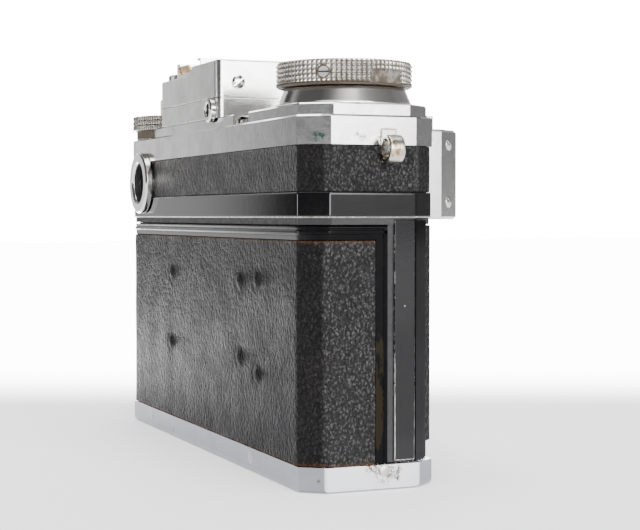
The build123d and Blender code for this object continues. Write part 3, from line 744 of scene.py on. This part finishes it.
def screw_head(name, centre, out, radius, height, look, body, slot_turn):
    """Domed slotted head whose flat side is at centre and whose dome points along out."""
    loop = [(radius * 0.45, height * 0.93), (radius * 0.8, height * 0.66), (radius, height * 0.3),
            (radius, 0.0)]
    count = 40
    turns = [2 * math.pi * k / count for k in range(count)]
    verts = [(0, 0, height)]
    for r, h in loop:
        verts += [(r * math.cos(a), r * math.sin(a), h) for a in turns]
    faces = [(0, 1 + k, 1 + (k + 1) % count) for k in range(count)]
    faces += [tuple(1 + i for i in face[::-1]) for face in grid_faces(len(loop), count, False, True)]
    last = 1 + (len(loop) - 1) * count
    faces.append(tuple(last + k for k in reversed(range(count))))
    slot = ((-radius * 2, -SLOT_WIDTH / 2, height * 0.45), (radius * 2, SLOT_WIDTH / 2, height * 2))
    placed = Matrix.Translation(Vector(centre)) @ Vector(out).to_track_quat("Z", "Y").to_matrix().to_4x4()
    placed = placed @ Matrix.Rotation(slot_turn, 4, "Z")
    return finish_mesh(name, solid_mesh(name, verts, faces), look, body, carve=(slot,), placed=placed)


# Leather skins and enamel bands that follow the body's plan
CORNER = 1.6


def leather_swell(x, y, z, nx, ny):
    """Slow waviness of glued leather, up to 0.14 mm inwards."""
    return 0.07 * noise.noise(Vector((x, y * 1.3, z)) * 0.11) - 0.07


BUMPS = [(27.3, 43.9), (28.0, 25.4), (-26.5, 43.9), (-38.1, 44.5), (-26.4, 25.8), (-38.4, 22.9)]


def back_swell(x, y, z, nx, ny):
    """Waviness, the six bumps of corrosion under the back leather, and a lifted lower edge."""
    out = leather_swell(x, y, z, nx, ny)
    if ny > 0.9:
        for bump_x, bump_z in BUMPS:
            away = math.hypot(x - bump_x, z - bump_z)
            out += 0.55 * math.exp(-((away / 1.35) ** 2.6)) - 0.12 * math.exp(-(((away - 2.6) / 0.8) ** 2))
    lip = max(0.0, 1.0 - (z - 5.6) / 1.2)
    out += 0.10 * lip * (0.5 + noise.noise(Vector((x * 0.2, y * 0.4, 3.0))))
    return out


def skin_section(z_low, z_high, thick, proud=0.0):
    """Section of a flat skin as (outwards, z) points."""
    return [(proud, z_low), (proud, z_high), (-thick, z_high), (-thick, z_low)]


band_low, band_high = place("leather_band")
swept("leather_band_skin", skin_section(band_low.z + 0.05, band_high.z - 0.05, 0.6), plan_path(0.1, CORNER),
      True, "band", "camera_body", "leather_band", radius=0.25, step=0.7, push=leather_swell)

strip_low, strip_high = place("black_strip")
swept("enamel_strip", skin_section(strip_low.z, strip_high.z, 0.7), plan_path(0.0, 1.1), True, "strip",
      "camera_body", "black_strip", radius=0.32, step=0.3, corner_wear=0.86)

leather_low, leather_high = place("back_leather")
back_path = plan_path(0.0, 2.4, front=-0.4, step=0.7)
swept("back_leather_skin", skin_section(leather_low.z, leather_high.z, 0.7), back_path, False, "back",
      "back_cover", "back_leather", radius=0.35, step=0.7, push=back_swell)


def rim_margin(x, y, z):
    """1 on the painted margin beside the leather at either end."""
    return 1.0 if abs(x) > HALF_LENGTH - 2.0 and y < -0.35 else 0.0


TOP = place("back_shell")[1].z
rim_section = [
    (-2.05, 5.55), (-0.78, 5.55), (-0.78, TOP - 3.0), (-0.35, TOP - 2.9), (-0.3, TOP - 2.0),
    (-0.3, TOP - 1.7), (-0.05, TOP - 1.5), (-0.05, TOP - 0.9), (-0.3, TOP - 0.7), (-0.3, TOP - 0.5),
    (-0.1, TOP - 0.35), (-0.1, TOP), (-1.3, TOP), (-1.3, TOP + 0.36), (-2.05, TOP + 0.36),
]
shell_path = plan_path(0.0, 2.4, front=-3.3)
swept("back_shell_rim", rim_section, shell_path, False, "shell", "back_cover", "back_shell",
      radius=0.16, step=0.35, corner_wear=0.0, margin=rim_margin)
bead = [(-0.8, 5.6), (-0.22, 5.7), (-0.22, TOP - 2.6), (-0.8, TOP - 2.6)]
rib = [(-0.75, 5.6), (-0.05, 5.7), (-0.05, TOP - 0.4), (-0.75, TOP - 0.4)]
for side, label in SIDES:
    margin_path, rib_path = (
        [(side * HALF_LENGTH, y, side, 0.0, 0.0) for y in ys[::-side]]
        for ys in ((-3.3, -2.9, -2.2, -1.4, -0.6), (-3.28, -3.0, -2.72, -2.44)))
    swept(f"back_margin_{label}", bead, margin_path, False, "shell", "back_cover", radius=0.1, step=0.5,
          corner_wear=0.0, margin=rim_margin)
    swept(f"back_rib_{label}", rib, rib_path, False, "margin", "back_cover", radius=0.12, step=0.4,
          corner_wear=0.0)

front_low, front_high = place("front_leather")
for side, label in SIDES:
    corners = [(side * 25.2, -HALF_DEPTH), (side * 63.6, -HALF_DEPTH), (side * 65.15, -13.76)][::side]
    route = outward(softened(corners, CORNER, 6, 0.8, False), False, -1)
    swept(f"front_leather_{label}", skin_section(front_low.z, front_high.z, 0.65), route, False, "front",
          "camera_body", "front_leather", radius=0.3, step=0.8, push=leather_swell)

    corners = [(side * 65.25, -13.62), (side * 67.97, -10.04), (side * HALF_LENGTH, -9.95)][::side]
    route = [(x, y, side * 0.797, -0.604, bend) for x, y, bend in softened(corners, 0.3, 4, 0.6, False)]
    swept(f"front_margin_{label}", skin_section(5.85, 58.1, 0.6, 0.03), route, False, "margin",
          "camera_body", radius=0.15, step=0.5, corner_wear=0.0)

strips_low, strips_high = END_STRIP
for side, label in SIDES:
    x_near, x_far = sorted((side * 67.3, side * 67.97))
    soft_block(f"end_strip_{label}", (x_near, *strips_low.yz), (x_far, *strips_high.yz), "ends",
               "camera_body", "end_strips", bevel=0.18)


# Turned pieces
KNOB_AT = middle("cone_collar")
KNOB_R = 15.2
KNURL_DEPTH = 0.5
FLAT_AT, FLAT_HALF = 194.7, 16.7
SCREW_AT = 139.5


def knob_keep(turn, h, sunk):
    """Depth in knurl depths, and dark value: a smooth flat for engraving painted dark as a painted
    reflection, the set screw's hole painted dark, and painted shadow under the knob.
    """
    degrees = math.degrees(turn)
    if abs(degrees - FLAT_AT) < FLAT_HALF and h < 90.25:
        chord = KNOB_R * math.cos(math.radians(FLAT_HALF)) / math.cos(math.radians(degrees - FLAT_AT))
        # The engraving flat is painted dark: a painted dark reflection.
        return 0.3 + (KNOB_R - chord) / KNURL_DEPTH, 0.82
    away = math.hypot(math.radians(degrees - SCREW_AT) * KNOB_R, h - 89.6)
    if away < 1.5:
        return (0.1, 1.0) if away > 1.15 else (1.6, 1.0)
    # Painted shadow under the knob.
    if h < 87.7:
        return sunk, 1.0
    return sunk, sunk


knob_profile = [
    (5.05, 87.0), (14.6, 87.0), (KNOB_R, 87.4), (KNOB_R, 92.0), (14.8, 92.4), (12.4, 92.4),
    (12.2, 91.5), (9.6, 91.45), (9.6, 91.85), (9.3, 92.0), (6.4, 92.0), (6.2, 91.85), (6.2, 91.5),
    (5.05, 91.5),
]
# The knob's underside is painted dark below 87.45 mm: painted shadow.
turned("speed_knob_turned", knob_profile, "knob", "speed_knob", "speed_knob", "knurled_chrome", at=KNOB_AT,
       radius=0.16, knurl=(87.3, 92.2, 84, 5, KNURL_DEPTH, knob_keep), shaded_below=87.45)
collar_profile = [
    (11.8, 82.9), (15.2, 82.9), (15.2, 83.25), (15.0, 83.4), (13.6, 86.7), (5.3, 86.7), (5.3, 85.4),
    (10.9, 85.4),
]
turned("cone_collar_turned", collar_profile, "polished", "camera_body", "cone_collar", "polished_chrome",
       at=KNOB_AT, radius=0.22)
button_foot, button_top = (corner.z for corner in place("shutter_button"))
button_profile = [
    (0.0, button_top - 3.4), (1.5, button_top - 3.4), (1.5, button_top), (3.2, button_top),
    (3.95, button_top - 0.5), (3.95, button_foot), (0.0, button_foot),
]
turned("shutter_button_turned", button_profile, "polished", "shutter_button", "shutter_button",
       "polished_chrome", at=KNOB_AT, radius=0.3, segments=96)

counter_profile = [
    (0.0, 72.55), (1.5, 72.55), (1.5, 80.6), (8.55, 80.6), (8.55, 81.5), (7.9, 81.55), (0.0, 81.4),
]
turned("counter_disc_turned", counter_profile, "ring", "counter_disc", "counter_disc", "polished_chrome",
       at=middle("counter_disc"), radius=0.1, knurl=(80.6, 81.5, 48, 1, 0.4, None))

EYE = middle("eyepiece_ring", "z")
ring_profile = [
    (4.6, 13.2), (5.75, 13.2), (5.75, 16.05), (8.5, 16.05), (8.5, 17.5), (8.0, 18.0), (5.9, 18.0),
    (5.5, 17.4), (5.5, 14.6), (4.6, 14.6),
]
turned("eyepiece_ring_turned", ring_profile, "polished", "camera_body", "eyepiece_ring", "polished_chrome",
       at=EYE, along="Y", radius=0.18, segments=128)
sleeve_profile = [(5.3, 15.7), (5.44, 15.7), (5.44, 17.2), (5.3, 17.2)]
turned("eyepiece_sleeve", sleeve_profile, "inside", "camera_body", slot="cell_black", at=EYE, along="Y",
       radius=0.03, segments=96)
SOCKET = middle("flash_socket", "z")
socket_profile = [
    (1.6, 13.0), (2.2, 13.0), (2.2, 15.45), (3.0, 15.45), (3.0, 16.5), (2.7, 16.9), (1.9, 16.9), (1.6, 16.6),
]
contact_profile = [
    (0.0, 13.0), (1.7, 13.0), (1.7, 13.6), (0.6, 13.6), (0.6, 16.1), (0.45, 16.2), (0.0, 16.2),
]
socket_parts = [
    turned("flash_socket_shell", socket_profile, "polished", "camera_body", slot="polished_chrome",
           at=SOCKET, along="Y", radius=0.14, segments=96),
    turned("flash_contact", contact_profile, "polished", "camera_body", at=SOCKET, along="Y", radius=0.1,
           segments=48),
]
joined("flash_socket_turned", socket_parts, "flash_socket")

REWIND_AT = middle("rewind_knob")
RING_R = 15.19
rewind_profile = [
    (2.55, 87.2), (7.0, 87.2), (7.5, 87.7), (7.5, 91.3), (7.0, 91.8), (4.6, 91.8), (4.6, 91.4), (0.0, 91.4),
    (0.0, 89.0), (2.55, 89.0),
]
turned("rewind_knob_turned", rewind_profile, "knob", "rewind_knob", "rewind_knob", "knurled_chrome",
       at=REWIND_AT, radius=0.2, knurl=(87.5, 91.4, 44, 1, 0.3, None))
dial_profile = [
    (2.6, 80.35), (14.1, 80.35), (14.1, 82.7), (RING_R, 82.75), (RING_R, 84.05), (5.0, 84.05), (5.0, 86.85),
    (2.6, 86.85),
]
# The dial base's step under its knurled rim is painted dark: painted shade.
turned("dial_base_turned", dial_profile, "ring", "camera_body", "dial_base", "knurled_chrome", at=REWIND_AT,
       radius=0.2, knurl=(82.8, 84.0, 110, 1, 0.1, None), shaded_below=82.74)
for node, low, high in (("exposure_ring", 84.15, 85.3), ("calculator_ring", 85.4, 86.6)):
    edge_profile = [
        (5.05, low), (RING_R, low), (RING_R, high), (14.2, high), (14.0, high - 0.12), (5.05, high - 0.12),
    ]
    turned(f"{node}_turned", edge_profile, "ring", node, node, "knurled_chrome", at=REWIND_AT, radius=0.25,
           knurl=(low + 0.1, high - 0.1, 110, 1, 0.1, None))


# Meter housing: two shells with a seam between them
housing_low, housing_high = place("meter_housing")
cover_low, cover_high = place("meter_cover")
SEAM = housing_high.z
HOUSING_X = (cover_low.x, cover_high.x)
HOUSING_Y = (housing_low.y, housing_high.y)
STEP = (9.8, 16.5)
LOW_ROOF = 95.0
SHOE_X = (7.4, 27.6)
SHOE_Y = (-13.0, 14.0)
NEEDLE_X, NEEDLE_Y = 32.7, 9.8


def roof(x):
    """Height of the cover: high at the winding end, and a smooth step down to the shoe."""
    t = min(1.0, max(0.0, (x - STEP[0]) / (STEP[1] - STEP[0])))
    return 97.0 - (97.0 - LOW_ROOF) * (1 - (1 - t) ** 3) * t ** 0.5


CELL_X = (-2.0, 32.0)
FRONT_Y = (-20.0, -13.2)
case("meter_housing_shell", HOUSING_X, HOUSING_Y, housing_low.z, lambda x: SEAM, 1.8, 0.12, "satin",
     "camera_body", "meter_housing", carve=(
         ((CELL_X[0], FRONT_Y[0], 84.0), (CELL_X[1], FRONT_Y[1], 90.0)),
         ((-8.25, 10.0, 82.55), (-3.75, 20.0, 87.05), "Y"),
         ((34.15, -20.0, 84.35), (36.65, -13.0, 86.85), "Y")))
case("meter_cover_shell", HOUSING_X, HOUSING_Y, SEAM + 0.14, roof, 1.8, 0.45, "satin", "camera_body",
     "meter_cover", carve=(
         ((CELL_X[0], FRONT_Y[0], 80.0), (CELL_X[1], FRONT_Y[1], 94.0)),
         ((HOUSING_X[0] - 1, -12.0, 89.25), (HOUSING_X[0] + 0.12, 11.0, 89.45)),
         ((NEEDLE_X - 3.6, NEEDLE_Y - 3.6, 90.0), (NEEDLE_X + 3.6, NEEDLE_Y + 3.6, 100.0), "Z"),
         ((SHOE_X[0], SHOE_Y[0], LOW_ROOF), (SHOE_X[1], SHOE_Y[1], 100.0))))
# A dark band filling the seam between the shells: painted shade.
case("housing_seam_shade", (HOUSING_X[0] + 0.1, HOUSING_X[1] - 0.1), (HOUSING_Y[0] + 0.1, HOUSING_Y[1] - 0.1),
     SEAM + 0.01, lambda x: SEAM + 0.13, 1.7, 0.01, "inside", "camera_body", None)
bezel_profile = [
    (2.8, 94.4), (3.55, 94.4), (3.55, 95.03), (4.8, 95.03), (4.8, 96.3), (4.4, 96.6), (2.8, 96.6),
]
turned("needle_bezel", bezel_profile, "polished", "camera_body", slot="polished_chrome",
       at=(NEEDLE_X, NEEDLE_Y), radius=0.12, segments=96)
hinge_ears = [
    soft_block(f"flap_ear_{i}", (x, -16.95, 94.8), (x + 0.9, -16.4, 95.2), "satin", "camera_body",
               bevel=0.08)
    for i, x in enumerate((-2.1, 31.2))
]
joined("flap_ears", hinge_ears)

# Strap lugs, worn to brass
lugs = []
LUG_Y = tuple(corner.y for corner in place("strap_lugs"))
LUG_Z = 73.0
LUG_R, LUG_OUTER_R = 2.0, 3.1
loop = [(LUG_R, LUG_Y[0]), (LUG_OUTER_R, LUG_Y[0]), (LUG_OUTER_R, LUG_Y[1]), (LUG_R, LUG_Y[1])]
for side, _ in SIDES:
    loop_x = side * 70.4
    hole = ((loop_x - LUG_R, -10.0, LUG_Z - LUG_R), (loop_x + LUG_R, 2.0, LUG_Z + LUG_R), "Y")
    lugs.append(turned(f"lug_loop_{side + 1}", loop, "lug", "camera_body", slot="polished_chrome",
                       at=(loop_x, LUG_Z), along="Y", radius=0.5, segments=96))
    for part, reach, z_low, z_high in (("tab", 0.9, 70.2, 77.4), ("neck", 1.6, 70.4, 75.6)):
        x_near, x_far = sorted((side * 67.95, side * (67.95 + reach)))
        low, high = (x_near, LUG_Y[0], z_low), (x_far, LUG_Y[1], z_high)
        lugs.append(soft_block(f"lug_{part}_{side + 1}", low, high, "lug", "camera_body", segments=4,
                               carve=(hole,)))
joined("strap_lugs_worn", lugs, "strap_lugs")

# Screws
heads = [
    screw_head("base_screw", (x, HALF_DEPTH, z), (0, 1, 0), 1.5, 0.16, "steel", "back_cover", turn)
    for x, z, turn in ((46.8, 3.8, 0.5), (-34.4, 3.3, 1.2))
]
heads += [
    screw_head("end_screw", (side * HALF_LENGTH, -2.7, 4.1), (side, 0, 0), 1.1, 0.16, "steel",
               "back_cover", 0.9)
    for side, _ in SIDES
]
joined("base_screws_slotted", heads, "base_screws")
heads = [
    screw_head("housing_screw", (x, 10.0, 91.6), (way, 0, 0), 1.7, 0.9, "polished", "camera_body", 0.7)
    for x, way in ((HOUSING_X[0], -1), (HOUSING_X[1], 1))
]
heads += [
    screw_head("mask_screw", (side * 58.56, -22.71, z), (side * 0.785, -0.62, 0), 1.3, 0.35, "polished",
               "camera_body", z)
    for side, _ in SIDES for z in (62.0, 74.8)
]
joined("cover_screws_slotted", heads, "cover_screws")


# Lens and the other round parts at the front
mount_profile = [
    (21.45, -14.0), (22.3, -14.0), (22.3, -22.05), (25.0, -22.05), (25.0, -25.3), (24.5, -25.8),
    (21.45, -25.8),
]
on_lens = {"at": (0, LENS_Z), "along": "Y", "segments": 180}
turned("lens_mount_turned", mount_profile, "polished", "camera_body", "lens_mount", "polished_chrome",
       radius=0.25, **on_lens)
helicoid_profile = [
    (18.05, -14.5), (21.35, -14.5), (21.35, -16.0), (21.2, -16.2), (21.2, -26.4), (21.0, -27.0),
    (18.05, -27.0),
]
turned("helicoid_turned", helicoid_profile, "aluminium", "helicoid_ring", "helicoid_ring", "aluminium",
       radius=0.2, **on_lens)
barrel_profile = [(15.05, -12.0), (18.0, -12.0), (18.0, -27.2), (20.6, -27.2), (20.6, -28.2), (15.05, -28.2)]
turned("lens_barrel_turned", barrel_profile, "aluminium", "lens_barrel", "lens_barrel", "aluminium",
       radius=0.2, **on_lens)
head_profile = [
    (13.0, -6.0), (15.0, -6.0), (15.0, -28.4), (20.0, -28.4), (20.0, -30.0), (18.2, -30.0), (18.2, -33.0),
    (21.0, -33.0), (21.0, -36.3), (19.98, -36.3), (19.98, -33.8), (12.5, -32.6), (11.4, -32.6),
    (11.4, -28.6),
    (13.0, -28.6),
]
turned("lens_head_turned", head_profile, "polished", "lens_head", "lens_head", "polished_chrome",
       radius=0.2, **on_lens)
aperture_profile = [(18.25, -30.1), (20.9, -30.1), (20.9, -32.9), (18.25, -32.9)]
turned("aperture_ring_turned", aperture_profile, "knob", "aperture_ring", "aperture_ring", "knurled_chrome",
       radius=0.2, knurl=(-32.7, -30.3, 72, 1, 0.3, None), **on_lens)

# Every CAD node that is still shown gets the look of its material slot, or one of its own
slot_looks = {
    "black_enamel": "enamel", "leather": "band", "satin_chrome": "satin", "polished_chrome": "polished",
    "knurled_chrome": "polished", "cell_black": "inside",
}
node_looks = {
    "top_plate": "top", "base_plate": "base", "body_casting": "inside", "knob_set_screw": "aluminium",
}
for part in frame["record"]["subparts"]:
    carried = frame["nodes"][part["node"]]
    slot = part["material_slot"]
    carried.data.materials.clear()
    carried.data.materials.append(looks[node_looks.get(part["node"], slot_looks.get(slot, slot))])

# Floor that fades to the white of the backdrop behind the object
FLOOR_HALF = 3.0
FLOOR_GAP = 0.00005
FADE_FROM, FADE_TO = 0.47, 0.60
NEAR_GLOW = 0.04
GLOW_MIDDLE, GLOW_SIDE = 14.0, 1.5
floor_mesh = bpy.data.meshes.new("floor")
corners = [(-1, -1), (1, -1), (1, 1), (-1, 1)]
floor_mesh.from_pydata([(x * FLOOR_HALF, y * FLOOR_HALF, 0.0) for x, y in corners], [], [(0, 1, 2, 3)])
floor = bpy.data.objects.new("floor", floor_mesh)
floor.location.z = cad_box[0].z - FLOOR_GAP
bpy.context.scene.collection.objects.link(floor)
ground = Shade("floor_paper")


def ground_distance(way):
    """Metres from the camera's foot to a point of the floor, along a level direction."""
    node = ground.add("ShaderNodeVectorMath", operation="DOT_PRODUCT")
    ground.feed(node.inputs[0], ground.point)
    node.inputs[1].default_value = way * MM
    return ground.minus(node.outputs["Value"], way.dot(CAMERA_AT))


away = ground_distance(level)
aside = ground_distance(Vector((-level.y, level.x, 0.0)))
aside = ground.maths("DIVIDE", ground.off(aside, 0.0), away)
paper_grain = ground.bump(ground.noise(1.5, 3.0), 0.02)
ground.out(color=(0.90, 0.90, 0.93), rough=0.75, specular=0.2, normal=paper_grain)
glow = ground.add("ShaderNodeEmission")
glow.inputs["Color"].default_value = (1.0, 1.0, 1.0, 1.0)
ground.feed(glow.inputs["Strength"], ground.span(aside, 0.23, 0.30, GLOW_MIDDLE, GLOW_SIDE))
blend = ground.add("ShaderNodeMixShader")
ground.feed(blend.inputs[0], ground.span(away, FADE_FROM, FADE_TO, NEAR_GLOW))
ground.feed(blend.inputs[1], ground.shader.outputs[0])
ground.feed(blend.inputs[2], glow.outputs[0])
ground.feed(ground.tree.nodes["Material Output"].inputs["Surface"], blend.outputs[0])
floor_mesh.materials.append(ground.material)

# Studio around it: brightness by compass direction, with a large soft light overhead
world = bpy.data.worlds.new("studio")
bpy.context.scene.world = world
sky = Nodes(world)

# Grey tones by compass direction in degrees, for three bands of height
WALLS = [(-180, 14), (-156.5, 14), (-153.5, 3), (-151, 1.2), (-135, 0.9), (-120, 0.45), (-100, 0.28),
         (-78, 0.26), (-52, 0.34), (-40, 0.9), (0, 1.1), (12, 1.3), (16, 1.25), (18.7, 1.0), (20.0, 0.8),
         (20.5, 0.5), (20.9, 0.12), (22, 0.05), (38, 0.05), (47, 1.2), (60, 0.9), (78, 0.35), (96, 0.14),
         (120, 0.10), (143, 0.12), (152, 2), (158, 16), (180, 14)]
SILL = [(-180, 2.5), (-160, 2.0), (-140, 1.0), (-130, 0.5), (-100, 0.28), (-52, 0.34), (-40, 0.9), (0, 1.2),
        (12, 1.5), (18.7, 1.15), (20.5, 0.5), (21, 0.08), (38, 0.05), (58, 0.1), (64, 14), (74, 14),
        (80, 0.1),
        (140, 0.12), (146, 16), (166, 16), (172, 2.5), (180, 2.5)]
CEILING = [(-180, 1.9), (-167, 0.7), (-152, 0.4), (-136, 0.3), (-98, 0.2), (-72, 0.3), (-40, 0.6), (0, 0.6),
           (27, 0.23), (53, 0.12), (107, 0.11), (122, 0.17), (136, 0.35), (150, 0.9), (164, 1.5), (180, 1.9)]
PEAK = 20.0
OVERHEAD = 9.0
SHEET = 16.0
direction = sky.add("ShaderNodeTexCoord").outputs["Generated"]
up = sky.part(direction, 2)
compass = sky.maths("ARCTAN2", sky.part(direction, 1), sky.part(direction, 0))
turn_share = sky.plus(sky.times(compass, 1 / (2 * math.pi)), 0.5)


def grey(tone):
    return (tone / PEAK, tone / PEAK, tone / PEAK)


def band_of(tones):
    """Brightness round the horizon for one band of height."""
    ramp = sky.add("ShaderNodeValToRGB")
    sky.feed(ramp.inputs[0], turn_share)
    stops = ramp.color_ramp.elements
    for degrees, tone in tones[1:-1]:
        stops.new(degrees / 360 + 0.5)
    for stop, (degrees, tone) in zip(stops, tones):
        stop.position = degrees / 360 + 0.5
        stop.color = (*grey(tone), 1.0)
    return ramp.outputs[0]


# Bands from the horizon upwards, and a bright sheet low behind the object
light = sky.mix(sky.span(up, 0.024, 0.055), band_of(SILL), band_of(WALLS))
light = sky.mix(sky.span(up, 0.40, 0.58), light, band_of(CEILING))
light = sky.mix(sky.span(up, 0.89, 0.96), light, grey(OVERHEAD))
sheet = sky.times(sky.span(compass, math.radians(-39), math.radians(-35.5), smooth="LINEAR"),
                  sky.span(compass, math.radians(-6), math.radians(-9.5), smooth="LINEAR"))
sheet = sky.times(sheet, sky.span(up, 0.18, 0.15, smooth="LINEAR"))
background = sky.tree.nodes["Background"]
sky.feed(background.inputs["Color"], sky.mix(sheet, light, grey(SHEET)))
background.inputs["Strength"].default_value = PEAK
